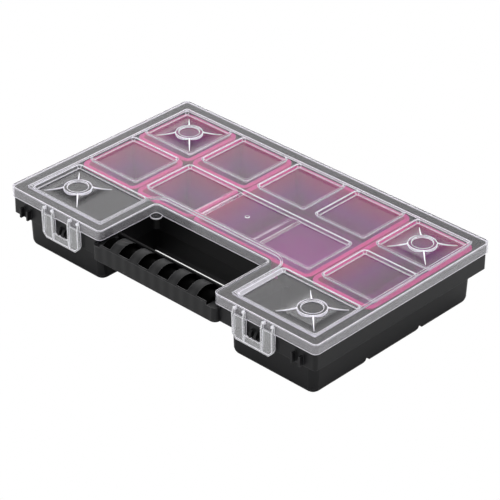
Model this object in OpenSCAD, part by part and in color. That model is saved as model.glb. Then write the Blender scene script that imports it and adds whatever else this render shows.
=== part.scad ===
// Drawer organizer box: a dark carry tub with a front grip, a frosted hinged lid,
// two snap latches and six lift-out bins. Millimetres, +Z up, +Y to the rear.
// X = 0 is the middle of the width, Y = 0 the middle of the lid's depth, Z = 0 the floor.

/* [Lid] */
// Width over the lid's skirt
lid_w = 390; // [389:0.5:392]
// Depth over the lid's skirt
lid_d = 237.5; // [237:0.5:239]
// Height of the closed box
total_h = 64.5; // [64.5:0.5:66]
// Height of the lid's hanging skirt
skirt_h = 10.7; // [10:0.1:10.9]
// Wall of the skirt
skirt_t = 1.15; // [1:0.05:1.2]
// Radius of the lid's upright corners
corner_r = 5.5; // [5:0.5:7]
// Width of the hand recess in the front
recess_w = 145; // [144:0.5:146]
// Depth of the hand recess
recess_d = 73; // [72:0.5:73.5]
// Fillet in the inner corners of the recess
recess_r = 4; // [3.5:0.5:6]
// Sheet thickness of the lid
sheet_t = 1.5; // [1.2:0.1:1.5]
// Width of the raised frame round the lid
frame_w = 13.3; // [13:0.1:14]
// Drop from the frame to the bars between the panels
frame_drop = 1.8; // [1.5:0.1:2]
// Drop from the bars to the sunken panels
panel_drop = 3.5; // [3.2:0.1:3.6]
// Bar beside an outer column of panels and between two rows
bar_w = 16; // [15:0.5:17]
// Bar between two middle columns of panels
mid_bar_w = 15; // [14:0.5:16]
// How much wider the outer panels are than the middle ones
panel_extra = 3.2; // [2:0.1:4]
// How much deeper the rear panels are than the middle ones
panel_deeper = 0.7; // [0:0.1:1]
// Strip between the hand recess and the middle panels
recess_strip = 18.5; // [17.5:0.5:19]
// Rim left in front of and beside the front panels
front_rim = 15; // [14:0.5:16]
// Draft of the panel walls
panel_draft = 1.7; // [1:0.1:2]
// Corner radius of the panels
panel_r = 3.8; // [3:0.1:4.5]
// Radius at the foot of the panel walls
panel_foot_r = 1.2; // [1:0.1:1.4]
// Height of the soft ridges in the wide middle tray
ridge_h = 1.1; // [0.8:0.1:1.4]
// Half width of a soft ridge at its foot
ridge_half = 6.5; // [5:0.5:7]
// Half width of a soft ridge at its crest
ridge_crest = 3; // [2:0.5:3.5]
// Radius of the mould gate mark
gate_r = 2; // [1.5:0.1:2.5]
// Height of the mould gate mark
gate_h = 0.4; // [0.3:0.1:0.6]
// Radius of the round tab in each inner corner of the recess
tab_r = 5.7; // [5:0.1:5.8]
// Distance of that tab's middle from the recess side
tab_in = 4.9; // [4.8:0.1:5.2]
// Thickness of that tab
tab_t = 1.2; // [1:0.1:1.5]

/* [Stacking dimples] */
// Side of the square foot of a raised dimple
dimple_w = 47; // [44:0.5:48]
// Radius of the round flank of a dimple
dimple_flank_r = 30.6; // [29:0.1:32]
// Outer radius of the ring on a dimple
ring_r = 13.5; // [12:0.5:14]
// Inner radius of the ring on a dimple
ring_bore_r = 10.25; // [9.5:0.25:11]
// Depth of the disc inside the ring
ring_sink = 1.3; // [1:0.1:1.5]
// Shift of the dimples from the middle of the outer panels
dimple_shift = 0.9; // [0:0.1:1]

/* [Base] */
// Inset of the base's rim behind the skirt
rim_in = 1.75; // [1.7:0.05:1.8]
// Wall of the rim
rim_t = 1.6; // [1.5:0.1:1.8]
// Lower edge of the rim
rim_z = 36; // [35:0.5:37]
// Gap between the rim's top and the lid
rim_gap = 0.5; // [0.4:0.1:0.8]
// Height of the slimmer top step of the rim
lead_h = 3; // [2:0.5:4]
// Depth of the slimmer top step of the rim
lead_in = 0.55; // [0.4:0.05:0.6]
// Thickness of the ledge under the rim
ledge_t = 1.8; // [1.5:0.1:2]
// Inset of the tub at the ledge
tub_in = 10.4; // [10:0.1:10.6]
// Inset of the tub round the hand recess
tub_recess_in = 9.3; // [9:0.1:9.4]
// Wall of the tub
tub_t = 1.8; // [1.6:0.1:1.9]
// Draft of the tub walls
tub_draft = 1.5; // [1.2:0.1:1.6]
// Radius of the tub's upright corners
tub_r = 9; // [8:0.5:10]
// Radius along the tub's lower edge
tub_foot_r = 6; // [5:0.5:6]
// Radius along the lower edge of the pockets
pocket_foot_r = 3; // [2.5:0.5:3.5]
// Top of the tub's floor
floor_z = 7.6; // [7.5:0.1:7.7]
// Height of the hollow under the floor
under_h = 5.8; // [5.6:0.1:5.9]
// Width of the foot left round the hollow
foot_w = 8; // [7.5:0.5:9]
// Corner radius of the hollow under the floor
under_r = 4; // [3:0.5:5]
// Width of a floor channel at the bottom
channel_w = 12.5; // [12:0.5:13]
// Radius of the channel's rounded edges
channel_r = 5.2; // [5:0.1:5.4]
// Front floor channel, from the front of the lid
channel_front = 82.5; // [82:0.5:83]
// Rear floor channel, from the front of the lid
channel_rear = 155; // [154:0.5:156]
// Rib left beside each floor channel
channel_rib = 3; // [2.5:0.5:3.5]
// Top of the wall behind the front compartments
divider_z = 55.2; // [54:0.1:55.3]

/* [Catch fins and lugs] */
// Thickness of a catch fin
fin_t = 2; // [1.6:0.1:2.2]
// Distance between the two fins of a catch
fin_pitch = 6; // [5.5:0.5:6.5]
// Reach of a fin in front of the skirt
fin_reach = 2.8; // [2.5:0.1:2.9]
// Lower edge of a fin
fin_z = 39.7; // [39.6:0.1:40]
// Top of a fin's blunt nose
fin_nose_z = 44.2; // [43.5:0.1:44.5]
// Top of a fin
fin_top_z = 46.6; // [46:0.1:47]
// Depth of a fin's slanted top
fin_slant = 2.4; // [2:0.1:2.4]
// Thickness of a corner lug
lug_t = 2; // [1.6:0.1:2.2]
// Distance between the two lugs of a pair
lug_pitch = 9; // [8.5:0.5:9.5]
// Middle of a lug pair, from the side of the lid
lug_x = 21; // [20:0.5:22]
// Reach of a lug in front of the skirt
lug_reach = 3; // [2.5:0.1:3.2]
// Lower edge of a lug
lug_z = 37; // [36.5:0.5:38]
// Height of a lug
lug_h = 10; // [9:0.5:11]

/* [Lid hinge] */
// Height of the hinge line
hinge_z = 50.2; // [50:0.1:50.3]
// Hinge line behind the rear of the skirt
hinge_back = 1.65; // [1.6:0.05:1.7]
// Radius of a hinge knuckle
knuckle_r = 2.6; // [2.5:0.05:2.6]
// Radius of the stub pins
pin_r = 1.2; // [1.1:0.05:1.25]
// Radial play of the stub pins
pin_play = 0.06; // [0.03:0.01:0.1]
// Distance between the hinge arms
hinge_pitch = 100; // [90:5:105]
// Width of a hinge arm
arm_w = 12; // [10:0.5:14]
// Height of the arm's root on the skirt
arm_root_z = 61; // [60:0.5:62]
// Width of a hinge ear
ear_w = 3; // [2.5:0.5:4]
// Side play between arm and ear
side_play = 0.3; // [0.3:0.05:0.5]

/* [Latches] */
// Width of a latch
latch_w = 48.5; // [48:0.5:49]
// Middle of each latch, from the side of the lid
latch_x = 72; // [71:0.5:73]
// Reach of a latch's side flanges in front of the skirt
latch_reach = 3.9; // [3.7:0.1:4.1]
// Reach of a latch's lower lip in front of the skirt
latch_lip_reach = 3.1; // [3:0.1:3.3]
// Front of the sunken latch plate in front of the skirt
latch_plate_out = 2.2; // [2.1:0.1:2.3]
// Thickness of the latch plate
latch_t = 1.4; // [1.3:0.1:1.4]
// Width of each latch leg
leg_w = 14; // [13:0.5:14.5]
// Thickness of a leg's side flange
flange_t = 1.3; // [1.2:0.1:1.4]
// Top of the leg plates
leg_top_z = 55; // [54.5:0.1:55.5]
// Front top corner of the side flanges
flange_top_z = 56.2; // [56:0.1:57]
// How far the flanges tuck in under the skirt
flange_tuck = 1.1; // [0.9:0.1:1.2]
// Top of the part that tucks in
tuck_top_z = 53.2; // [52.8:0.1:53.3]
// Lower end of the part that tucks in
tuck_low_z = 37.5; // [37.2:0.1:38]
// Top of the crossbar
crossbar_z = 38.2; // [38:0.1:38.3]
// Lower edge of the latch
latch_bottom_z = 30.5; // [30:0.1:31]
// Chamfer at the latch's lower corners
latch_chamfer = 4.5; // [4:0.5:5]
// Latch hinge line in front of the skirt
latch_axis_out = 1.45; // [1.4:0.05:1.5]
// Height of the latch hinge line
latch_axis_z = 61.3; // [61:0.1:61.4]
// Radius of the flange round the hinge line
prong_r = 1.1; // [1.05:0.05:1.15]
// Radius of the latch pins
latch_pin_r = 0.8; // [0.75:0.05:0.85]
// Radial play of the latch pins
latch_pin_play = 0.07; // [0.04:0.01:0.1]
// Radius of the small ears that carry the latch pins
latch_ear_r = 1.5; // [1.45:0.05:1.6]
// Thickness of the small ears
latch_ear_t = 1.2; // [1:0.1:1.4]
// Height of the small teeth on the crossbar
tooth_h = 1; // [0.8:0.1:1.1]
// Width of a small tooth
tooth_w = 2.2; // [2:0.1:2.5]
// Distance between the small teeth
tooth_pitch = 5; // [4.5:0.5:5.5]

/* [Handle] */
// Reach of the handle in front of the skirt
handle_out = 4.25; // [4:0.05:4.3]
// Total width of the handle with its end tabs
handle_w = 159; // [158:0.5:160]
// Radius of the handle's ends in plan
handle_end_r = 5.8; // [5:0.1:5.9]
// Half length of the arched grip
grip_half = 67.8; // [67.6:0.1:68]
// Top of the end tabs
tab_z = 51; // [50:0.5:51.5]
// Top front edge of the grip
grip_edge_z = 53.1; // [52.5:0.1:53.5]
// Middle of the grip arch behind the front of the skirt
arch_y = 9; // [8.5:0.1:9.5]
// Middle of the grip arch above the floor
arch_z = 42.4; // [42:0.1:43]
// Radius of the grip arch
arch_r = 17.1; // [16.9:0.1:17.2]
// Rear face of the grip behind the front of the skirt
grip_back = 20.5; // [20:0.1:21]
// Lower edge of the grip's rear lip
lip_z = 47; // [46:0.5:49]
// Radius of the hollow under the grip
grip_hollow_r = 10.8; // [10.5:0.1:11]
// Middle of the hollow behind the front of the skirt
grip_hollow_y = 8.5; // [8.2:0.1:8.8]
// Distance between the grip ribs
rib_pitch = 24.8; // [24.5:0.1:25]
// Width of a groove between the ribs
groove_w = 9.4; // [9:0.1:9.6]
// Depth of a groove between the ribs
groove_d = 2.6; // [2:0.1:3]
// Lip left in front of and behind the grooves
groove_lip = 1.1; // [1:0.1:1.4]

/* [Bins] */
// Room between the bodies of two bins side by side
bin_apart = 8.2; // [8:0.1:8.6]
// Room between the bodies of two bins in front of each other
bin_row_apart = 8; // [7.8:0.1:8.4]
// Play between an outer bin and the tub's wall
bin_play = 0.4; // [0.3:0.1:0.6]
// Play between the front bins and the divider
bin_front_play = 0.3; // [0.3:0.1:0.6]
// Outward rim of a bin
bin_lip = 3.3; // [3:0.1:3.4]
// Thickness of a bin's rim
bin_lip_t = 1.5; // [1.2:0.1:1.8]
// Wall of a bin
bin_t = 1.6; // [1.4:0.1:1.8]
// Draft of a bin's walls
bin_draft = 2.5; // [2.3:0.1:2.6]
// Radius of a bin's upright corners
bin_r = 6; // [6:0.5:7]
// Radius along the lower edge of a bin
bin_foot_r = 3; // [2.6:0.1:3]
// Top of the bins above the floor
bin_top_z = 57.3; // [57:0.1:57.3]
// Gap under a bin
bin_gap = 0.2; // [0.1:0.1:0.4]

/* [Hidden] */
$fn = 48;
cut = 0.5;
ease = 0.15;
foot_ease_share = 1.01;
front_y = -lid_d / 2;
rear_y = lid_d / 2;
side_x = lid_w / 2;
recess_x = recess_w / 2;
recess_y = front_y + recess_d;
skirt_z = total_h - skirt_h;
frame_under_z = total_h - sheet_t;
bar_z = total_h - frame_drop;
panel_z = bar_z - panel_drop;
panel_w = (lid_w - (frame_w + bar_w + mid_bar_w + panel_extra) * 2) / 5;
panel_pitch = panel_w + mid_bar_w;
outer_panel_w = panel_w + panel_extra;
rear_panel_d = (lid_d - frame_w - recess_d - recess_strip - bar_w + panel_deeper) / 2;
mid_panel_d = rear_panel_d - panel_deeper;
front_panel_d = recess_d + recess_strip - bar_w - front_rim;
dimple_x = frame_w + outer_panel_w / 2 + dimple_shift;
dimple_front = dimple_x;
dimple_rear = frame_w + rear_panel_d / 2;
rim_top_z = frame_under_z - rim_gap;
ledge_z = rim_z + ledge_t;
wall_y = recess_y + tub_recess_in;
pocket_in = tub_in + tub_t;
pocket_y = wall_y + tub_t;
hinge_y = rear_y + hinge_back;
latch_y = front_y - latch_axis_out;
bin_z = floor_z + bin_gap;
bin_h = bin_top_z - bin_z;
bin_w = (lid_w - (pocket_in + bin_play) * 2 - bin_apart * 4) / 5;
bin_pitch = bin_w + bin_apart;
bin_front_y = pocket_y + bin_front_play;
bin_rear_y = rear_y - pocket_in - bin_play / 2;
bin_d = (bin_rear_y - bin_front_y - bin_row_apart) / 2;
front_row_y = bin_front_y + bin_d / 2;
rear_row_y = bin_rear_y - bin_d / 2;
wide_bin_w = bin_w + bin_pitch;
long_bin_d = bin_rear_y - bin_front_y;
body_black = [0.12, 0.12, 0.13];
frost = [0.82, 0.84, 0.87, 0.45];
pink = [0.86, 0.16, 0.42];

// Rectangle with round corners, centred
module round_rect(w, d, r) {
    square([w - r * 2, d], center = true);
    square([w, d - r * 2], center = true);
    for (sx = [-1, 1], sy = [-1, 1])
        translate([sx * (w / 2 - r), sy * (d / 2 - r)]) circle(r);
}

// Rectangle with round corners between two points
module round_span(x0, x1, y0, y1, r) {
    translate([(x0 + x1) / 2, (y0 + y1) / 2]) round_rect(x1 - x0, y1 - y0, r);
}

// Plan of the box with its hand recess, drawn in by one inset all round
module plan(inset) {
    r = max(corner_r - inset, corner_r / 4);
    f = recess_r + inset;
    for (side = [-1, 1])
        scale([side, 1])
            round_span(recess_x + inset, side_x - inset, front_y + inset, rear_y - inset, r);
    round_span(-side_x + inset, side_x - inset, recess_y + inset, rear_y - inset, r);
    for (side = [-1, 1])
        scale([side, 1])
            difference() {
                translate([recess_x + inset - f, recess_y + inset - f]) square(f + r);
                translate([recess_x + inset - f, recess_y + inset - f]) circle(f);
            }
}

// Side view of a drafted wall pair with rounded lower edges, from z = 0 up
module draft_profile(w, h, draft, r, over) {
    a = atan(draft / h);
    foot = w / 2 - draft;
    cx = foot - r * (1 - sin(a)) / cos(a);
    reach = r * 2;
    difference() {
        polygon([[-foot, 0], [foot, 0], [w / 2, h], [w / 2, h + over],
            [-w / 2, h + over], [-w / 2, h]]);
        for (side = [-1, 1])
            scale([side, 1]) translate([cx, r]) difference() {
                polygon([[0, 0], [0, -reach], [reach, -reach],
                    [reach * cos(a), -reach * sin(a)]]);
                circle(r * foot_ease_share);
            }
    }
}

// Rounded tray form: drafted walls, round upright corners, round lower edges
module draft_box(w, d, h, draft, rv, rb, over) {
    full = h + over;
    intersection() {
        union() {
            translate([-w / 2 - ease, -d / 2 + rv, 0]) cube([w + ease * 2, d - rv * 2, full]);
            translate([-w / 2 + rv, -d / 2 - ease, 0]) cube([w - rv * 2, d + ease * 2, full]);
            for (sx = [-1, 1], sy = [-1, 1])
                translate([sx * (w / 2 - rv), sy * (d / 2 - rv), 0])
                    cylinder(r1 = rv - draft + ease, r2 = rv + ease + draft * over / h, h = full);
        }
        rotate([90, 0, 0])
            linear_extrude(height = d * 2, center = true) draft_profile(w, h, draft, rb, over);
        rotate([90, 0, 90])
            linear_extrude(height = w * 2, center = true) draft_profile(d, h, draft, rb, over);
    }
}

// The same form between two points of the plan
module draft_span(x0, x1, y0, y1, h, draft, rv, rb, over) {
    translate([(x0 + x1) / 2, (y0 + y1) / 2, 0])
        draft_box(x1 - x0, y1 - y0, h, draft, rv, rb, over);
}

// Plate lying across X with a side outline drawn in Y and Z
module side_plate(t) {
    rotate([90, 0, 90]) linear_extrude(height = t, center = true) children();
}

// Round bar along X
module bar(r, l) {
    rotate([0, 90, 0]) cylinder(r = r, h = l, center = true);
}

// One sunken panel form: grown by the sheet for its cup, or plain for its cut
module panel(x0, x1, y0, y1, grow, over) {
    translate([0, 0, panel_z - grow])
        draft_span(x0 - grow, x1 + grow, y0 - grow, y1 + grow, panel_drop,
            panel_draft, panel_r + grow, panel_foot_r, over);
}

// All sunken panels of the lid
module panels(grow, over) {
    outer_x = panel_pitch + panel_w / 2 + bar_w;
    rear_y1 = rear_y - frame_w;
    rear_y0 = rear_y1 - rear_panel_d;
    mid_y1 = rear_y0 - bar_w;
    mid_y0 = mid_y1 - mid_panel_d;
    for (side = [-1, 1])
        scale([side, 1, 1]) {
            panel(outer_x, side_x - frame_w, rear_y0, rear_y1, grow, over);
            panel(outer_x, side_x - frame_w, mid_y0, mid_y1, grow, over);
            panel(recess_x + front_rim, side_x - front_rim, front_y + front_rim,
                front_y + front_rim + front_panel_d, grow, over);
            panel(panel_pitch - panel_w / 2, panel_pitch + panel_w / 2, rear_y0, rear_y1,
                grow, over);
        }
    panel(-panel_w / 2, panel_w / 2, rear_y0, rear_y1, grow, over);
    panel(-panel_pitch - panel_w / 2, panel_pitch + panel_w / 2, mid_y0, mid_y1, grow, over);
}

// Square dimple with hollow flanks that run up to a round ring
module dimple_body() {
    intersection() {
        dimple_prism();
        rotate([0, 0, 90]) dimple_prism();
    }
    cylinder(r = ring_r, h = panel_drop);
}

module dimple_prism() {
    rotate([90, 0, 0]) linear_extrude(height = dimple_w, center = true) difference() {
        translate([-dimple_w / 2, 0]) square([dimple_w, panel_drop]);
        for (side = [-1, 1])
            translate([side * dimple_w / 2, dimple_flank_r]) circle(dimple_flank_r, $fn = 192);
    }
}

// Places its children at the four dimples
module at_dimples() {
    for (side = [-1, 1]) {
        translate([side * (side_x - dimple_x), front_y + dimple_front, panel_z]) children();
        translate([side * (side_x - dimple_x), rear_y - dimple_rear, panel_z]) children();
    }
}

// Places its children at the hinge stations
module at_hinges() {
    for (i = [-1.5 : 1 : 1.5])
        translate([i * hinge_pitch, hinge_y, hinge_z]) children();
}

// Places its children at the four flanges of a latch, inner side towards the leg's middle
module at_flanges() {
    for (side = [-1, 1]) {
        translate([side * (latch_w / 2), 0, 0]) scale([-side, 1, 1]) children();
        translate([side * (latch_w / 2 - leg_w), 0, 0]) scale([side, 1, 1]) children();
    }
}

// Skirt, frame and bar sheet before the panels are sunk
module lid_shell() {
    under = bar_z - sheet_t;
    difference() {
        translate([0, 0, skirt_z]) linear_extrude(height = skirt_h) plan(0);
        translate([0, 0, skirt_z - cut])
            linear_extrude(height = under - skirt_z + cut) plan(skirt_t);
        translate([0, 0, under - cut]) linear_extrude(height = frame_drop + cut) difference() {
            plan(skirt_t);
            plan(frame_w - sheet_t);
        }
        translate([0, 0, bar_z]) linear_extrude(height = frame_drop + cut) plan(frame_w);
    }
}

// Small ear with its bore beside one latch flange
module latch_ear() {
    translate([flange_t + side_play + latch_ear_t / 2, 0, 0])
        side_plate(latch_ear_t)
            difference() {
                union() {
                    translate([latch_y, latch_axis_z]) circle(latch_ear_r);
                    translate([latch_y, latch_axis_z - latch_ear_r])
                        square([latch_axis_out + cut, latch_ear_r * 2]);
                }
                translate([latch_y, latch_axis_z]) circle(latch_pin_r + latch_pin_play);
            }
}

// Arm, barrel and stub pins of one hinge station
module hinge_arm() {
    root_y = -hinge_back - skirt_t / 2;
    side_plate(arm_w) {
        circle(knuckle_r);
        polygon([[root_y, 0], [knuckle_r, 0], [root_y + skirt_t, arm_root_z - hinge_z],
            [root_y, arm_root_z - hinge_z]]);
    }
    bar(pin_r, arm_w + (side_play + ear_w) * 2);
}

module lid() {
    mid_y1 = rear_y - frame_w - rear_panel_d - bar_w;
    color(frost) {
        difference() {
            union() {
                lid_shell();
                panels(sheet_t, cut);
                for (side = [-1, 1])
                    translate([side * (recess_x - tab_in), recess_y - tab_in, skirt_z])
                        cylinder(r = tab_r, h = tab_t);
                at_dimples() dimple_body();
            }
            difference() {
                panels(0, panel_drop);
                at_dimples() dimple_body();
            }
            at_dimples() translate([0, 0, -sheet_t]) dimple_body();
            at_dimples() translate([0, 0, panel_drop - ring_sink])
                cylinder(r = ring_bore_r, h = panel_drop);
        }
        for (side = [-1, 1])
            translate([side * panel_pitch / 2, mid_y1 - mid_panel_d / 2, panel_z - cut])
                rotate([90, 0, 0])
                    linear_extrude(height = mid_panel_d - panel_draft * 2, center = true)
                        polygon([[-ridge_half, 0], [ridge_half, 0], [ridge_half, cut],
                            [ridge_crest, cut + ridge_h], [-ridge_crest, cut + ridge_h],
                            [-ridge_half, cut]]);
        translate([0, mid_y1 - mid_panel_d / 2, panel_z - cut])
            cylinder(r = gate_r, h = gate_h + cut);
        for (side = [-1, 1])
            translate([side * (side_x - latch_x), 0, 0]) at_flanges() latch_ear();
        at_hinges() hinge_arm();
    }
}

// Outside of the tub under the rim: rear body, two front blocks and the wall behind the recess
module tub_outside() {
    wall_d = rear_y - tub_in - wall_y;
    intersection() {
        draft_span(-side_x + tub_in, side_x - tub_in, front_y + tub_in, rear_y - tub_in,
            rim_z, tub_draft, tub_r, tub_foot_r, ledge_t / 2);
        translate([-side_x, wall_y + tub_r, 0]) cube([lid_w, lid_d, total_h]);
    }
    intersection() {
        union() {
            for (side = [-1, 1])
                scale([side, 1, 1])
                    draft_span(recess_x + tub_recess_in, side_x - tub_in, front_y + tub_in,
                        rear_y - tub_in, rim_z, tub_draft, tub_r, tub_foot_r, ledge_t / 2);
            translate([0, wall_y + wall_d / 2, 0]) rotate([90, 0, 90])
                linear_extrude(height = (recess_x + tub_recess_in + tub_r) * 2, center = true)
                    draft_profile(wall_d, rim_z, tub_draft, tub_foot_r, ledge_t / 2);
        }
        translate([-side_x, -lid_d, 0]) cube([lid_w, lid_d + wall_y + tub_r, total_h]);
    }
}

// The three pockets inside the tub
module tub_pockets() {
    depth = rim_z - floor_z;
    translate([0, 0, floor_z]) {
        for (side = [-1, 1])
            scale([side, 1, 1])
                draft_span(recess_x + tub_recess_in + tub_t, side_x - pocket_in,
                    front_y + pocket_in, wall_y, depth, tub_draft, tub_r - tub_t,
                    pocket_foot_r, ledge_t + cut);
        draft_span(-side_x + pocket_in, side_x - pocket_in, pocket_y, rear_y - pocket_in,
            depth, tub_draft, tub_r - tub_t, pocket_foot_r, ledge_t + cut);
    }
}

// Hollows under the floor, between the foot ring and the channel ribs
module under_hollows() {
    edge = tub_in + tub_draft + foot_w;
    rib = channel_w / 2 + channel_rib;
    translate([0, 0, -cut]) linear_extrude(height = under_h + cut) {
        for (side = [-1, 1])
            scale([side, 1])
                round_span(recess_x + edge, side_x - edge, front_y + edge,
                    front_y + channel_front - rib, under_r);
        round_span(-side_x + edge, side_x - edge, front_y + channel_front + rib,
            front_y + channel_rear - rib, under_r);
        round_span(-side_x + edge, side_x - edge, front_y + channel_rear + rib,
            rear_y - edge, under_r);
    }
}

// One channel across the underside, with rounded edges
module channel() {
    rotate([90, 0, 90]) linear_extrude(height = lid_w, center = true) difference() {
        translate([-channel_w / 2, -cut]) square([channel_w, under_h + cut]);
        for (side = [-1, 1])
            translate([side * channel_w / 2, channel_r - ease]) circle(channel_r);
    }
}

// One catch fin on the rim's front face
module fin() {
    root = rim_in + rim_t / 2;
    side_plate(fin_t)
        polygon([[root, fin_z], [-fin_reach, fin_z], [-fin_reach, fin_nose_z],
            [-fin_reach + fin_slant, fin_top_z], [root, fin_top_z]]);
}

// Two ears of one hinge station with their bores
module hinge_ears() {
    root = hinge_back + rim_in + rim_t / 2;
    for (side = [-1, 1])
        translate([side * (arm_w / 2 + side_play + ear_w / 2), 0, 0])
            difference() {
                side_plate(ear_w) {
                    circle(knuckle_r);
                    translate([-root, -knuckle_r]) square([root, knuckle_r * 2]);
                }
                bar(pin_r + pin_play, ear_w * 2);
            }
}

module base() {
    color(body_black) {
        difference() {
            union() {
                tub_outside();
                translate([0, 0, rim_z])
                    linear_extrude(height = rim_top_z - lead_h - rim_z) plan(rim_in);
                translate([0, 0, rim_z])
                    linear_extrude(height = rim_top_z - rim_z) plan(rim_in + lead_in);
            }
            tub_pockets();
            difference() {
                translate([0, 0, ledge_z])
                    linear_extrude(height = total_h - ledge_z) plan(rim_in + rim_t);
                for (side = [-1, 1])
                    translate([side * (side_x + recess_x) / 2, wall_y + tub_t / 2, ledge_z])
                        linear_extrude(height = divider_z - ledge_z)
                            square([side_x - recess_x - rim_in * 2, tub_t], center = true);
            }
            under_hollows();
            translate([0, front_y + channel_front, 0]) channel();
            translate([0, front_y + channel_rear, 0]) channel();
        }
        for (side = [-1, 1]) {
            for (k = [-1, 1])
                translate([side * (side_x - latch_x) + k * fin_pitch / 2, front_y, 0]) fin();
            for (k = [-1, 1])
                translate([side * (side_x - lug_x) + k * lug_pitch / 2 - lug_t / 2,
                    front_y - lug_reach, lug_z])
                    cube([lug_t, lug_reach + rim_in + rim_t / 2, lug_h]);
        }
        at_hinges() hinge_ears();
    }
}

// Side outline of the arched grip, Y from the front of the skirt
module grip_outline() {
    intersection() {
        translate([arch_y, arch_z]) circle(arch_r, $fn = 144);
        translate([-handle_out, arch_z]) square([handle_out + grip_back, arch_r * 2]);
    }
    translate([-handle_out, rim_z]) square([handle_out + grip_back, grip_edge_z - rim_z]);
}

module handle() {
    block_x = recess_x + rim_in;
    color(body_black) translate([0, front_y, 0]) {
        difference() {
            side_plate(grip_half * 2) grip_outline();
            side_plate(grip_half * 2 - groove_lip * 2) {
                translate([grip_hollow_y, arch_z]) circle(grip_hollow_r, $fn = 96);
                translate([grip_hollow_y - grip_hollow_r, rim_z - cut])
                    square([grip_hollow_r * 2, arch_z - rim_z + cut]);
                translate([grip_hollow_y, rim_z - cut])
                    square([grip_back, lip_z - rim_z + cut]);
            }
            for (i = [-2.5 : 1 : 2.5])
                translate([i * rib_pitch, 0, 0]) side_plate(groove_w) difference() {
                    translate([-handle_out + groove_lip, arch_z])
                        square([handle_out + grip_back - groove_lip * 2, arch_r * 2]);
                    translate([arch_y, arch_z]) circle(arch_r - groove_d, $fn = 144);
                }
        }
        for (side = [-1, 1])
            scale([side, 1, 1]) {
                translate([grip_half - cut, -handle_out, rim_z])
                    cube([block_x - grip_half + cut, handle_out + grip_back, tab_z - rim_z]);
                translate([0, 0, rim_z]) linear_extrude(height = tab_z - rim_z) {
                    translate([block_x - cut, -handle_out])
                        square([handle_w / 2 - handle_end_r - block_x + cut,
                            handle_out + rim_in]);
                    intersection() {
                        translate([handle_w / 2 - handle_end_r, -handle_out + handle_end_r])
                            circle(handle_end_r);
                        translate([block_x, -handle_out])
                            square([handle_w, handle_out + rim_in]);
                    }
                }
            }
    }
}

// Front view of a latch with chamfered lower corners, drawn in by one inset
module latch_outline(inset) {
    half = latch_w / 2;
    corner = latch_chamfer + inset * (sqrt(2) - 1);
    polygon([[-half + corner, latch_bottom_z + inset], [half - corner, latch_bottom_z + inset],
        [half - inset, latch_bottom_z + corner], [half - inset, leg_top_z],
        [-half + inset, leg_top_z], [-half + inset, latch_bottom_z + corner]]);
}

// One side flange of a latch, slanted at the top and tucked in under the skirt
module latch_flange(low_z) {
    rear_y = latch_y + prong_r;
    lean_y = latch_reach - latch_axis_out;
    lean_z = latch_axis_z - flange_top_z;
    lean = atan(lean_y / lean_z) - asin(prong_r / norm([lean_y, lean_z]));
    side_plate(flange_t) {
        translate([latch_y, latch_axis_z]) circle(prong_r);
        polygon([[front_y - latch_lip_reach, low_z],
            [front_y - latch_plate_out + latch_t, low_z],
            [front_y + flange_tuck, tuck_low_z], [front_y + flange_tuck, tuck_top_z],
            [rear_y, tuck_top_z], [rear_y, latch_axis_z], [latch_y, latch_axis_z],
            [latch_y - prong_r * cos(lean), latch_axis_z + prong_r * sin(lean)],
            [front_y - latch_reach, flange_top_z]]);
    }
}

// One latch about its own middle
module latch() {
    plate_rear_y = front_y - latch_plate_out + latch_t;
    pin_l = side_play + latch_ear_t + flange_t / 2;
    color(frost) {
        translate([0, plate_rear_y, 0]) rotate([90, 0, 0]) {
            linear_extrude(height = latch_t) difference() {
                latch_outline(0);
                translate([-latch_w / 2 + leg_w, crossbar_z])
                    square([latch_w - leg_w * 2, leg_top_z]);
            }
            linear_extrude(height = latch_lip_reach - latch_plate_out + latch_t)
                difference() {
                    latch_outline(0);
                    latch_outline(flange_t);
                    translate([-latch_w, latch_bottom_z + latch_chamfer + flange_t])
                        square([latch_w * 2, leg_top_z]);
                }
            for (i = [-1.5 : 1 : 1.5])
                translate([i * tooth_pitch, crossbar_z]) linear_extrude(height = latch_t)
                    polygon([[-tooth_w / 2, -cut], [tooth_w / 2, -cut], [0, tooth_h]]);
        }
        for (side = [-1, 1]) {
            translate([side * (latch_w - flange_t) / 2, 0, 0])
                latch_flange(latch_bottom_z + latch_chamfer);
            translate([side * ((latch_w + flange_t) / 2 - leg_w), 0, 0])
                latch_flange(latch_bottom_z);
        }
        at_flanges()
            translate([flange_t / 2 + pin_l / 2, latch_y, latch_axis_z])
                bar(latch_pin_r, pin_l);
    }
}

module latch_left() {
    translate([-side_x + latch_x, 0, 0]) latch();
}

module latch_right() {
    translate([side_x - latch_x, 0, 0]) latch();
}

// One bin by the size of its body at the top
module bin(w, d) {
    inner = bin_t * 2;
    translate([0, 0, bin_z])
        difference() {
            union() {
                draft_box(w, d, bin_h - cut, bin_draft, bin_r, bin_foot_r, cut);
                translate([0, 0, bin_h - bin_lip_t])
                    linear_extrude(height = bin_lip_t)
                        round_rect(w + bin_lip * 2, d + bin_lip * 2, bin_r + bin_lip);
            }
            translate([0, 0, bin_t])
                draft_box(w - inner, d - inner, bin_h - bin_t, bin_draft, bin_r - bin_t,
                    bin_foot_r - bin_t, cut);
        }
}

module bin_rear_left() {
    color(pink) translate([-bin_pitch * 2, rear_row_y, 0]) bin(bin_w, bin_d);
}

module bin_front_left() {
    color(pink) translate([-bin_pitch * 2, front_row_y, 0]) bin(bin_w, bin_d);
}

module bin_rear_mid() {
    color(pink) translate([-bin_pitch, rear_row_y, 0]) bin(bin_w, bin_d);
}

module bin_front_mid() {
    color(pink) translate([-bin_pitch, front_row_y, 0]) bin(bin_w, bin_d);
}

module bin_wide() {
    color(pink) translate([bin_pitch / 2, (rear_row_y + front_row_y) / 2, 0])
        bin(wide_bin_w, long_bin_d);
}

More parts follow.
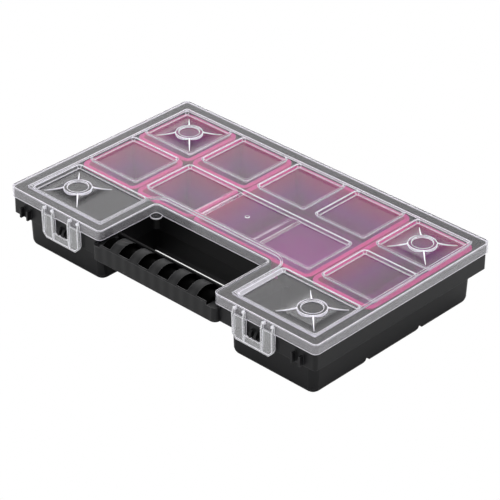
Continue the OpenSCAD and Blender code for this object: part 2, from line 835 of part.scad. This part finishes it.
module bin_long() {
    color(pink) translate([bin_pitch * 2, (rear_row_y + front_row_y) / 2, 0])
        bin(bin_w, long_bin_d);
}

base();
handle();
lid();
latch_left();
latch_right();
bin_rear_left();
bin_front_left();
bin_rear_mid();
bin_front_mid();
bin_wide();
bin_long();
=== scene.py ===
import math
import bmesh
import bpy
from mathutils import Matrix, Vector


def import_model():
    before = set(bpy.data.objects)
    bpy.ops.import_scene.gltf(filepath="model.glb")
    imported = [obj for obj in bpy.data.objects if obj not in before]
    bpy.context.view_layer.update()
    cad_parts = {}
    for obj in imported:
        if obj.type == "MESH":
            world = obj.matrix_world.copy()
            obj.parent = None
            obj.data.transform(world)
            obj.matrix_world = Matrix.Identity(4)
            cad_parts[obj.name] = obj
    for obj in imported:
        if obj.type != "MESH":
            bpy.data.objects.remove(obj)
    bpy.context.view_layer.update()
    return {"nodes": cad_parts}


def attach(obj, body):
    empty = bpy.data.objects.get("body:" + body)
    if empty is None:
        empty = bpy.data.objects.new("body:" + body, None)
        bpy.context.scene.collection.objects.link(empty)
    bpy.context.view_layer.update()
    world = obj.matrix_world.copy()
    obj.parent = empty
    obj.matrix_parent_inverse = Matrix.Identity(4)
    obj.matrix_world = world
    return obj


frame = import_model()

# The camera, fitted to the edges of the box in the photo: angles in degrees, focal length in photo pixels
PHOTO_PX = 500
SENSOR_MM = 36.0
AZIMUTH, ELEVATION, ROLL = 43.233, 31.776, 0.484
FOCAL_PX = 2385.273
DISTANCE = 2.227335
AIM_SIDE, AIM_UP = -0.006413, 0.008287
TARGET = (0.0, -0.00375, 0.0352)
VIEW_END = 20.0

# The floor, the lamp and the studio: its strength on matt surfaces, and its walls and ceiling in mirrors
WHITE = (1.0, 1.0, 1.0, 1.0)
FLOOR_HALF = 4.0
FLOOR_COLOR = (0.85, 0.85, 0.85, 1.0)
FLOOR_ROUGH = 0.9
LAMP_SIZE, LAMP_POWER = 1.6, 15.0
LAMP_AT = (-0.2, 0.3, 1.6)
SURROUND = 0.8
WALL_BRIGHT, WALL_DIM = 1.5, 0.9
BRIGHT_SIDE = (-0.719, -0.695, 0.0)
DIM_TO, BRIGHT_FROM = -0.1, 0.06
WALL_TOP, CEILING_FROM, CEILING = 0.54, 0.74, 0.1

# The edge mask and the moulded grain of the plastics
EDGE_SAMPLES = 6
GRAIN_DETAIL = 3.0
GRAIN_DEPTH = 0.0001

# The charcoal plastic of the tub and the grip, and the paler colour painted on its edges as a highlight
BODY_COLOR, BODY_EDGE_HIGHLIGHT = (0.008, 0.008, 0.009, 1.0), (0.06, 0.06, 0.063, 1.0)
GRIP_COLOR, GRIP_EDGE_HIGHLIGHT = (0.01, 0.01, 0.011, 1.0), (0.16, 0.16, 0.165, 1.0)
SOLID_LOOK = {"Roughness": 0.42, "Specular IOR Level": 0.22}
SOLID_EDGE_R, SOLID_EDGE_REACH = 0.0005, 0.12
SOLID_GRAIN, SOLID_GRAIN_SIZE = 0.25, 900.0

# The painted shade around the hand recess: its middle and half size along X, Y and Z
RECESS_SHADE_ZONE = ((0.0, 0.0838), (-0.07, 0.0347), (0.03, 0.031))
RECESS_SHADE_COLOR, RECESS_SHADE_GLOSS = (0.003, 0.003, 0.0035, 1.0), 0.12

# The black shade painted in the grip's pockets, and the flutes on the grip
POCKET_SHADE_COLOR, POCKET_SHADE_GLOSS = (0.0006, 0.0006, 0.0006, 1.0), 0.01
POCKET_HALF_Y, POCKET_HALF_Z = 0.0113, 0.0099
POCKET_MIDDLE_Z = 0.057
POCKET_SLACK = 0.0001
FLUTES_PER_RIB = 2
FLUTE_STRENGTH, FLUTE_DEPTH = 0.4, 0.0004

# The bins' pink, from their floor, painted darker and cooler as shade, up to their rim
BIN_LOW, BIN_HIGH = 0.008, 0.058
BIN_FLOOR_SHADE, BIN_RIM_COLOR = (0.3, 0.006, 0.23, 1.0), (0.8, 0.03, 0.28, 1.0)
BIN_WALL_SHADES = ((0.5, (0.45, 0.004, 0.42, 1.0)), (0.88, (0.66, 0.004, 0.28, 1.0)))
# A paler pink painted on the bins' rounded edges as a highlight
BIN_EDGE_HIGHLIGHT, BIN_EDGE_MIX = (0.75, 0.07, 0.33, 1.0), 0.6
BIN_EDGE_R, BIN_EDGE_REACH = 0.0007, 0.2
BIN_GRAIN, BIN_GRAIN_SIZE = 0.1, 700.0
BIN_LOOK = {"Roughness": 0.35, "Specular IOR Level": 0.1, "Subsurface Weight": 0.5,
            "Subsurface Radius": (1.0, 0.15, 0.6), "Subsurface Scale": 0.005}

# The clear plastic of the lid and the latches
CLEAR_IOR = 1.49
CLEAR_EDGE_R, CLEAR_EDGE_REACH = 0.0007, 0.012
CLEAR_GLOSS, PANEL_GLOSS = 0.5, 0.1
SLOPE_FLAT, SLOPE_UPRIGHT = 0.75, 0.3
CLOUD_SIZE, CLOUD_DETAIL, CLOUD_MEAN = 40.0, 2.0, 0.5
FROST_ROUGH = 0.4
# The painted light on the clear plastic: a pale lavender glow on its edges and ridges and on the panel
# walls nearer the camera
PAINTED_GLOW_COLOR = (0.9, 0.86, 1.0, 1.0)
EDGE_PAINTED_GLOW, WALL_PAINTED_GLOW = 0.22, 0.17

# The lid's sunken panels: how far they reach, their pitch, and where the hand recess and the bins start
LID_IN_X, LID_IN_Y, PANEL_Z, BAR_Z = 0.1932, 0.1168, 0.0574, 0.0629
PANEL_PITCH_X, PANEL_SHIFT_X = 0.0748, 2.5
PANEL_PITCH_Y, PANEL_SHIFT_Y = 0.0742, 0.512
BINS_FRONT, RECESS_HALF = -0.037, 0.086

# The painted highlights along the ridges of the four stacking dimples: the dimples' middles, and the
# ridges' ends and half widths
DIMPLE_X, DIMPLE_FRONT, DIMPLE_REAR = 0.1497, -0.07345, 0.0761
RIDGE_IN, RIDGE_OUT = 0.0192, 0.0455
RIDGE_W, RIDGE_TIP = 0.0013, 0.0004
RIDGE_CORE = 0.5
RIDGE_HIGHLIGHT = 0.75

# The tub's foot: its rounded corners and the notches at the ends of the two channels
CURVE_STEPS = 12
OVERRUN = 0.001
FOOT_R = 0.006
CORNER_X, CORNER_Y, RECESS_CORNER_X, CORNER_R = 0.1756, 0.0994, 0.0908, 0.0075
CORNER_OUT = 0.012
CORNER_CLEAR, CORNER_HAIR = 0.0005, 0.00004
CHANNEL_Y, NOTCH_R, NOTCH_TOP = 0.0362, 0.01, 0.007
NOTCH_EASE = 0.0006
NOTCH_FROM_X, NOTCH_TO_X = 0.173, 0.19

# The grip's arch, its pockets and its rear lip
POCKETS = 6
RIB_PITCH = 0.0248
POCKET_W = 0.0136
POCKET_FRONT, POCKET_REAR = -0.1218, -0.0994
POCKET_FLOOR_R, POCKET_ROOF = 0.013, 0.066
POCKET_FLOOR_STEPS = 24
ARCH_Y, ARCH_Z = -0.10975, 0.0424
LIP_REAR, LIP_TOP, LIP_LOW, LIP_HALF = -0.0966, 0.0576, 0.0505, 0.0677


def camera():
    """Places the photo's camera, which faces the target from its distance."""
    azimuth, elevation, roll = (math.radians(angle) for angle in (AZIMUTH, ELEVATION, ROLL))
    back = Vector((math.sin(azimuth) * math.cos(elevation),
                   -math.cos(azimuth) * math.cos(elevation), math.sin(elevation)))
    right = Vector((0, 0, 1)).cross(back).normalized()
    over = back.cross(right)
    x = right * math.cos(roll) + over * math.sin(roll)
    y = over * math.cos(roll) - right * math.sin(roll)
    data = bpy.data.cameras.new("camera")
    data.sensor_width = SENSOR_MM
    data.lens = FOCAL_PX * SENSOR_MM / PHOTO_PX
    data.clip_end = VIEW_END
    obj = bpy.data.objects.new("camera", data)
    turn = Matrix((x, y, back)).transposed().to_4x4()
    place = Vector(TARGET) - x * AIM_SIDE - y * AIM_UP + back * DISTANCE
    obj.matrix_world = Matrix.Translation(place) @ turn
    bpy.context.collection.objects.link(obj)
    bpy.context.scene.camera = obj


def feed(tree, socket, value):
    """Gives an input the output of another node, or else a plain value."""
    if isinstance(value, bpy.types.NodeSocket):
        tree.links.new(value, socket)
    else:
        socket.default_value = value


def feed_all(tree, node, values):
    """Feeds the inputs of a node by their names."""
    for key, value in values.items():
        feed(tree, node.inputs[key], value)


def calc(tree, operation, *values, clamp=False):
    """The result of a math operation on outputs or plain numbers."""
    node = tree.nodes.new("ShaderNodeMath")
    node.operation = operation
    node.use_clamp = clamp
    for socket, value in zip(node.inputs, values):
        feed(tree, socket, value)
    return node.outputs["Value"]


def remap(tree, value, low, high, start=0.0, end=1.0, shape="LINEAR"):
    """Runs from start to end while a value runs from low to high, and stays there beyond them."""
    node = tree.nodes.new("ShaderNodeMapRange")
    node.interpolation_type = shape
    feed_all(tree, node, {"Value": value, "From Min": low, "From Max": high,
                          "To Min": start, "To Max": end})
    return node.outputs["Result"]


def blend(tree, factor, a, b, kind="RGBA"):
    """The mix of two colours, or of two plain values."""
    node = tree.nodes.new("ShaderNodeMix")
    node.data_type = kind
    feed_all(tree, node, {"Factor": factor, "A": a, "B": b})
    return node.outputs["Result"]


def dot(tree, a, b):
    """The dot product of two vectors."""
    node = tree.nodes.new("ShaderNodeVectorMath")
    node.operation = "DOT_PRODUCT"
    feed(tree, node.inputs[0], a)
    feed(tree, node.inputs[1], b)
    return node.outputs["Value"]


def coordinates(tree, kind):
    """The X, Y and Z of a texture coordinate."""
    place = tree.nodes.new("ShaderNodeTexCoord")
    split = tree.nodes.new("ShaderNodeSeparateXYZ")
    feed(tree, split.inputs["Vector"], place.outputs[kind])
    return [split.outputs[axis] for axis in "XYZ"]


def noise(tree, size, detail):
    """Smooth noise in the piece's own coordinates."""
    place = tree.nodes.new("ShaderNodeTexCoord")
    node = tree.nodes.new("ShaderNodeTexNoise")
    feed_all(tree, node, {"Vector": place.outputs["Object"], "Scale": size, "Detail": detail})
    return node.outputs["Fac"]


def bump(tree, height, strength, depth, normal):
    """A normal that is tilted by a height."""
    node = tree.nodes.new("ShaderNodeBump")
    feed_all(tree, node, {"Height": height, "Strength": strength, "Distance": depth, "Normal": normal})
    return node.outputs["Normal"]


def grain(tree, strength, size, normal):
    """Fine moulded grain over a normal."""
    return bump(tree, noise(tree, size, GRAIN_DETAIL), strength, GRAIN_DEPTH, normal)


def edge_mask(tree, radius, reach):
    """The normal with rounded edges, and a mask that is 0 on flat faces and 1 on the edges."""
    bevel = tree.nodes.new("ShaderNodeBevel")
    bevel.samples = EDGE_SAMPLES
    feed(tree, bevel.inputs["Radius"], radius)
    face = tree.nodes.new("ShaderNodeNewGeometry")
    turned = dot(tree, bevel.outputs["Normal"], face.outputs["Normal"])
    return bevel.outputs["Normal"], remap(tree, turned, 1.0, 1.0 - reach)


def both(tree, *masks):
    """The product of masks: 1 where all of them are 1."""
    result = masks[0]
    for mask in masks[1:]:
        result = calc(tree, "MULTIPLY", result, mask)
    return result


def within(tree, value, middle, half):
    """1 where a value is no further than half from the middle, else 0."""
    return calc(tree, "COMPARE", value, middle, half)


def near_side(tree, value, factor, shift):
    """1 in the half of each panel's pitch that is nearer to the camera, else 0."""
    turn = calc(tree, "MULTIPLY_ADD", value, factor, shift)
    return calc(tree, "GREATER_THAN", calc(tree, "FRACT", turn), 0.5)


def start_material(name):
    """A new node material, its node tree and its Principled shader."""
    mat = bpy.data.materials.new(name)
    mat.use_nodes = True
    return mat, mat.node_tree, mat.node_tree.nodes["Principled BSDF"]


def pink_plastic(name):
    """The bins' plastic: bright at the rims, with shade painted deeper and cooler towards the floor in
    the black tub.
    """
    mat, tree, shader = start_material(name)
    normal, near = edge_mask(tree, BIN_EDGE_R, BIN_EDGE_REACH)
    z = coordinates(tree, "Object")[2]
    ramp = tree.nodes.new("ShaderNodeValToRGB")
    colors = ramp.color_ramp.elements
    colors[0].color = BIN_FLOOR_SHADE
    colors[1].color = BIN_RIM_COLOR
    for at, color in BIN_WALL_SHADES:
        colors.new(at).color = color
    feed(tree, ramp.inputs["Fac"], remap(tree, z, BIN_LOW, BIN_HIGH))
    # The paler pink on the edges is a painted highlight
    edge = calc(tree, "MULTIPLY", near, BIN_EDGE_MIX)
    feed_all(tree, shader, BIN_LOOK)
    feed_all(tree, shader, {"Base Color": blend(tree, edge, ramp.outputs["Color"], BIN_EDGE_HIGHLIGHT),
                            "Normal": grain(tree, BIN_GRAIN, BIN_GRAIN_SIZE, normal)})
    return mat


def solid_plastic(name, color, highlight_color):
    """Opaque moulded plastic with a fine grain, and a paler colour painted on its rounded edges as a
    highlight.
    """
    mat, tree, shader = start_material(name)
    normal, near = edge_mask(tree, SOLID_EDGE_R, SOLID_EDGE_REACH)
    feed_all(tree, shader, SOLID_LOOK)
    feed_all(tree, shader, {"Base Color": blend(tree, near, color, highlight_color),
                            "Normal": grain(tree, SOLID_GRAIN, SOLID_GRAIN_SIZE, normal)})
    return mat, tree, shader


def paint_shade(tree, shader, zone, color, gloss):
    """Paints shade into a plastic inside a zone: a middle and a half size for each value that bounds it.
    """
    inside = both(tree, *(within(tree, *bound) for bound in zone))
    own_color = shader.inputs["Base Color"].links[0].from_socket
    own_gloss = shader.inputs["Specular IOR Level"].default_value
    feed_all(tree, shader, {"Base Color": blend(tree, inside, own_color, color),
                            "Specular IOR Level": remap(tree, inside, 0.0, 1.0, own_gloss, gloss)})


def body_plastic(name):
    """The tub's plastic, darker around the hand recess, where little light reaches."""
    mat, tree, shader = solid_plastic(name, BODY_COLOR, BODY_EDGE_HIGHLIGHT)
    zone = [(value, *bound) for value, bound in zip(coordinates(tree, "Object"), RECESS_SHADE_ZONE)]
    paint_shade(tree, shader, zone, RECESS_SHADE_COLOR, RECESS_SHADE_GLOSS)
    return mat


def grip_plastic(name):
    """The grip's plastic: shallow upright flutes, and black in the pockets, where no light reaches."""
    mat, tree, shader = solid_plastic(name, GRIP_COLOR, GRIP_EDGE_HIGHLIGHT)
    x, y, z = coordinates(tree, "Object")
    rib = calc(tree, "FRACT", calc(tree, "MULTIPLY", x, 1 / RIB_PITCH))
    zone = ((rib, 0.5, POCKET_W / RIB_PITCH / 2 + POCKET_SLACK),
            (y, (POCKET_FRONT + POCKET_REAR) / 2, POCKET_HALF_Y),
            (z, POCKET_MIDDLE_Z, POCKET_HALF_Z))
    paint_shade(tree, shader, zone, POCKET_SHADE_COLOR, POCKET_SHADE_GLOSS)
    turn = 2 * math.pi * FLUTES_PER_RIB / RIB_PITCH
    wave = calc(tree, "SINE", calc(tree, "MULTIPLY", x, turn))
    grained = shader.inputs["Normal"].links[0].from_socket
    feed(tree, shader.inputs["Normal"], bump(tree, wave, FLUTE_STRENGTH, FLUTE_DEPTH, grained))
    return mat


def ridge_mask(tree, x, y):
    """1 along the four tapered ridges of each stacking dimple, where highlights are painted, else 0."""
    u = calc(tree, "ABSOLUTE", calc(tree, "SUBTRACT", calc(tree, "ABSOLUTE", x), DIMPLE_X))
    front, rear = (calc(tree, "ABSOLUTE", calc(tree, "SUBTRACT", y, middle))
                   for middle in (DIMPLE_FRONT, DIMPLE_REAR))
    v = calc(tree, "MINIMUM", front, rear)
    out = calc(tree, "ADD", u, v)
    width = remap(tree, out, RIDGE_IN, RIDGE_OUT, RIDGE_W, RIDGE_TIP)
    off = calc(tree, "ABSOLUTE", calc(tree, "SUBTRACT", u, v))
    line = remap(tree, calc(tree, "DIVIDE", off, width), 1.0, RIDGE_CORE)
    return both(tree, line, within(tree, out, (RIDGE_OUT + RIDGE_IN) / 2, (RIDGE_OUT - RIDGE_IN) / 2))


def near_walls(tree, inside, x, y, z):
    """How squarely a point lies on a panel wall that is nearer to the camera, where light is painted: 0
    on all other faces.
    """
    sunk = both(tree, inside, within(tree, z, 0.0, BAR_Z), calc(tree, "GREATER_THAN", z, PANEL_Z))
    beside_recess = calc(tree, "GREATER_THAN", calc(tree, "ABSOLUTE", x), RECESS_HALF)
    behind_recess = calc(tree, "GREATER_THAN", y, BINS_FRONT)
    panels = both(tree, sunk, calc(tree, "ADD", beside_recess, behind_recess, clamp=True))
    slope_x, slope_y = (calc(tree, "ABSOLUTE", slope) for slope in coordinates(tree, "Normal")[:2])
    near_x = both(tree, slope_x, near_side(tree, x, 1 / PANEL_PITCH_X, PANEL_SHIFT_X))
    near_y = both(tree, slope_y, near_side(tree, y, -1 / PANEL_PITCH_Y, PANEL_SHIFT_Y))
    return both(tree, panels, calc(tree, "ADD", near_x, near_y))


def clear_plastic(name, color, rough, haze, wall, near_wall_light):
    """See-through plastic, hazy all over and more on walls, with white glowing edges and ridges as
    painted highlights, and painted light, more haze and a glow, on the panel walls nearer the camera.
    """
    mat, tree, shader = start_material(name)
    normal, near = edge_mask(tree, CLEAR_EDGE_R, CLEAR_EDGE_REACH)
    x, y, z = coordinates(tree, "Object")
    ridges = calc(tree, "MULTIPLY", ridge_mask(tree, x, y), RIDGE_HIGHLIGHT)
    edges = calc(tree, "ADD", near, ridges, clamp=True)
    inside = both(tree, within(tree, x, 0.0, LID_IN_X), within(tree, y, 0.0, LID_IN_Y))
    over_bins = both(tree, inside, calc(tree, "GREATER_THAN", y, BINS_FRONT))
    slope = calc(tree, "ABSOLUTE", coordinates(tree, "Normal")[2])
    upright = remap(tree, slope, SLOPE_FLAT, SLOPE_UPRIGHT)
    band = near_walls(tree, inside, x, y, z)
    walls = both(tree, upright, remap(tree, band, 0.0, 1.0, wall, wall + near_wall_light))
    cloud = calc(tree, "MULTIPLY", noise(tree, CLOUD_SIZE, CLOUD_DETAIL), haze / CLOUD_MEAN)
    # The cloudy haze is the plastic's own; on the edges and ridges the frost is a painted highlight, and
    # on the panel walls nearer the camera painted light.
    frost = calc(tree, "ADD", calc(tree, "ADD", cloud, walls), edges, clamp=True)
    wall_painted_glow = calc(tree, "MULTIPLY", both(tree, band, upright), WALL_PAINTED_GLOW)
    edge_painted_glow = calc(tree, "MULTIPLY", edges, EDGE_PAINTED_GLOW)
    feed_all(tree, shader, {
        "Base Color": color,
        "IOR": CLEAR_IOR,
        "Normal": normal,
        "Specular IOR Level": remap(tree, over_bins, 0.0, 1.0, CLEAR_GLOSS, PANEL_GLOSS),
        "Transmission Weight": calc(tree, "SUBTRACT", 1.0, frost),
        "Roughness": remap(tree, frost, 0.0, 1.0, rough, FROST_ROUGH),
        "Emission Color": PAINTED_GLOW_COLOR,
        "Emission Strength": calc(tree, "ADD", wall_painted_glow, edge_painted_glow)})
    return mat


def paint(node, mat):
    """Puts one material on every slot of a CAD node."""
    obj = frame["nodes"][node]
    if not obj.material_slots:
        obj.data.materials.append(mat)
    for slot in obj.material_slots:
        slot.material = mat


def mesh_object(name, points, faces):
    """A mesh object in the row frame."""
    mesh = bpy.data.meshes.new(name)
    mesh.from_pydata(points, [], faces)
    mesh.update()
    obj = bpy.data.objects.new(name, mesh)
    bpy.context.collection.objects.link(obj)
    return obj


def prism(outline, low, high, points, faces):
    """Adds a closed prism along X between two places, from a Y-Z outline."""
    start, count = len(points), len(outline)
    points += [(low, y, z) for y, z in outline] + [(high, y, z) for y, z in outline]
    faces.append(tuple(range(start + count - 1, start - 1, -1)))
    faces.append(tuple(range(start + count, start + 2 * count)))
    for i in range(count):
        j = (i + 1) % count
        faces.append((start + i, start + j, start + count + j, start + count + i))


def arc(radius, low, high, steps):
    """Points on the grip's arch at one radius, from one Y to another."""
    first, last = (math.asin((y - ARCH_Y) / radius) for y in (low, high))
    turns = (first + (last - first) * i / steps for i in range(steps + 1))
    return [(ARCH_Y + radius * math.sin(turn), ARCH_Z + radius * math.cos(turn)) for turn in turns]


def inset(radius, height):
    """How far a rounded lower edge stands back at a height over its foot."""
    return radius - math.sqrt(radius ** 2 - (radius - height) ** 2)


def outward(mesh):
    """Turns every face of a closed mesh outwards."""
    bm = bmesh.new()
    bm.from_mesh(mesh)
    bmesh.ops.recalc_face_normals(bm, faces=bm.faces)
    bm.to_mesh(mesh)
    bm.free()


def cut_with(node, name, points, faces):
    """Cuts closed forms out of a CAD node by a modifier. The cutter itself isn't shown."""
    cutter = mesh_object(name, points, faces)
    outward(cutter.data)
    cutter.hide_render = True
    cutter.hide_set(True)
    cut = frame["nodes"][node].modifiers.new(name, "BOOLEAN")
    cut.operation = "DIFFERENCE"
    cut.solver = "EXACT"
    cut.object = cutter


def corner_form(x, y, sx, sy, points, faces):
    """Adds the form that is cut off one lower corner of the tub, to leave it rounded like a ball."""
    start = len(points)
    ring = CURVE_STEPS + 4
    levels = [-OVERRUN, 0.0]
    levels += [FOOT_R * k / CURVE_STEPS for k in range(1, CURVE_STEPS + 1)]
    levels.append(FOOT_R + OVERRUN)
    for z in levels:
        clear = CORNER_CLEAR if z > FOOT_R else CORNER_HAIR
        reach = CORNER_R - inset(FOOT_R, min(max(z, 0.0), FOOT_R)) + clear
        for i in range(CURVE_STEPS + 1):
            turn = math.pi / 2 * i / CURVE_STEPS
            points.append((x + sx * reach * math.cos(turn), y + sy * reach * math.sin(turn), z))
        far_x, far_y = x + sx * CORNER_OUT, y + sy * CORNER_OUT
        points += [(x, far_y, z), (far_x, far_y, z), (far_x, y, z)]
    for k in range(len(levels) - 1):
        for i in range(ring):
            j = (i + 1) % ring
            a, b = start + k * ring, start + (k + 1) * ring
            faces.append((a + i, a + j, b + j, b + i))
    faces.append(tuple(range(start, start + ring)))
    top = start + (len(levels) - 1) * ring
    faces.append(tuple(range(top + ring - 1, top - 1, -1)))


def notch_outline(middle):
    """The outline of a channel's end, whose sides round outwards towards the floor."""
    heights = [NOTCH_TOP * k / CURVE_STEPS for k in range(CURVE_STEPS + 1)]
    side = [(inset(NOTCH_R, z) + NOTCH_EASE, z) for z in heights]
    foot = side[0][0]
    outline = [(middle - foot, -OVERRUN)] + [(middle - width, z) for width, z in side]
    return outline + [(middle + width, z) for width, z in reversed(side)] + [(middle + foot, -OVERRUN)]


def round_foot():
    """Rounds the tub's lower corners and opens the ends of the two channels under it."""
    points, faces = [], []
    for sx in (-1, 1):
        corner_form(sx * CORNER_X, -CORNER_Y, sx, -1, points, faces)
        corner_form(sx * CORNER_X, CORNER_Y, sx, 1, points, faces)
        corner_form(sx * RECESS_CORNER_X, -CORNER_Y, -sx, -1, points, faces)
        low, high = sorted((sx * NOTCH_FROM_X, sx * NOTCH_TO_X))
        for middle in (-CHANNEL_Y, CHANNEL_Y):
            prism(notch_outline(middle), low, high, points, faces)
    cut_with("base", "foot_cutter", points, faces)


def open_pockets():
    """Cuts the pockets between the grip's ribs to their full width and depth."""
    outline = arc(POCKET_FLOOR_R, POCKET_FRONT, POCKET_REAR, POCKET_FLOOR_STEPS)
    outline += [(POCKET_REAR, POCKET_ROOF), (POCKET_FRONT, POCKET_ROOF)]
    points, faces = [], []
    for i in range(POCKETS):
        middle = (i - (POCKETS - 1) / 2) * RIB_PITCH
        prism(outline, middle - POCKET_W / 2, middle + POCKET_W / 2, points, faces)
    cut_with("handle", "pocket_cutter", points, faces)


def rear_lip(mat):
    """The raised rear lip that closes the grip's pockets towards the hand gap."""
    radius = (LIP_REAR - POCKET_REAR) / 2
    middle = (LIP_REAR + POCKET_REAR) / 2
    round_z = LIP_TOP - radius
    turns = (math.pi * i / CURVE_STEPS for i in range(CURVE_STEPS + 1))
    top = [(middle + radius * math.cos(turn), round_z + radius * math.sin(turn)) for turn in turns]
    points, faces = [], []
    prism([(LIP_REAR, LIP_LOW)] + top + [(POCKET_REAR, LIP_LOW)], -LIP_HALF, LIP_HALF, points, faces)
    lip = mesh_object("grip_rear_lip", points, faces)
    outward(lip.data)
    lip.data.materials.append(mat)
    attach(lip, "tub")


def seen(tree):
    """The kinds of a ray, and 1 where it comes from the camera or through the clear plastic, else 0."""
    path = tree.nodes.new("ShaderNodeLightPath")
    return path, calc(tree, "MAXIMUM", path.outputs["Is Camera Ray"], path.outputs["Is Transmission Ray"])


def white_where_seen(name, color):
    """A surface that the camera sees as plain white and that lights the box as the given colour."""
    mat, tree, shader = start_material(name)
    feed_all(tree, shader, {"Base Color": color, "Roughness": FLOOR_ROUGH})
    glow = tree.nodes.new("ShaderNodeEmission")
    feed(tree, glow.inputs["Color"], WHITE)
    mix = tree.nodes.new("ShaderNodeMixShader")
    feed(tree, mix.inputs["Fac"], seen(tree)[1])
    feed(tree, mix.inputs[1], shader.outputs["BSDF"])
    feed(tree, mix.inputs[2], glow.outputs["Emission"])
    feed(tree, tree.nodes["Material Output"].inputs["Surface"], mix.outputs["Shader"])
    return mat


def floor():
    """The pale floor that the box stands on."""
    corners = ((-1, -1), (1, -1), (1, 1), (-1, 1))
    points = [(FLOOR_HALF * x, FLOOR_HALF * y, 0) for x, y in corners]
    obj = mesh_object("floor", points, [(0, 1, 2, 3)])
    obj.data.materials.append(white_where_seen("floor_white", FLOOR_COLOR))


def world():
    """Soft studio surround: white where it is seen, even light on matt surfaces, walls in mirrors."""
    studio = bpy.data.worlds.new("studio")
    bpy.context.scene.world = studio
    studio.use_nodes = True
    tree = studio.node_tree
    path, direct = seen(tree)
    place = tree.nodes.new("ShaderNodeTexCoord")
    side = dot(tree, place.outputs["Generated"], BRIGHT_SIDE)
    wall = remap(tree, side, DIM_TO, BRIGHT_FROM, WALL_DIM, WALL_BRIGHT)
    height = coordinates(tree, "Generated")[2]
    room = remap(tree, height, WALL_TOP, CEILING_FROM, wall, CEILING, "SMOOTHSTEP")
    light = blend(tree, path.outputs["Is Glossy Ray"], SURROUND, room, "FLOAT")
    feed_all(tree, tree.nodes["Background"],
             {"Color": WHITE, "Strength": blend(tree, direct, light, 1.0, "FLOAT")})


def lamp(name):
    """A soft square lamp over the box, which faces the origin."""
    data = bpy.data.lights.new(name, "AREA")
    data.size = LAMP_SIZE
    data.energy = LAMP_POWER
    obj = bpy.data.objects.new(name, data)
    obj.location = LAMP_AT
    obj.rotation_euler = (-Vector(LAMP_AT)).to_track_quat("-Z", "Y").to_euler()
    bpy.context.collection.objects.link(obj)


bpy.context.scene.view_settings.view_transform = "Standard"
camera()
floor()
world()
lamp("top_box")

charcoal = body_plastic("body_plastic")
# The lid's panel walls nearer the camera are painted lighter, with more haze; the latches' are not.
lid_frost = clear_plastic("lid_frost", color=(0.95, 0.935, 0.98, 1.0),
                          rough=0.06, haze=0.01, wall=0.12, near_wall_light=0.4)
latch_frost = clear_plastic("latch_frost", color=(0.95, 0.955, 0.97, 1.0),
                            rough=0.12, haze=0.05, wall=0.14, near_wall_light=0.0)
bin_pink = pink_plastic("bin_pink")
grip_charcoal = grip_plastic("grip_plastic")

paint("base", charcoal)
paint("handle", grip_charcoal)
round_foot()
open_pockets()
rear_lip(charcoal)
paint("lid", lid_frost)
for part in ("latch_left", "latch_right"):
    paint(part, latch_frost)
for part in frame["nodes"]:
    if part.startswith("bin_"):
        paint(part, bin_pink)
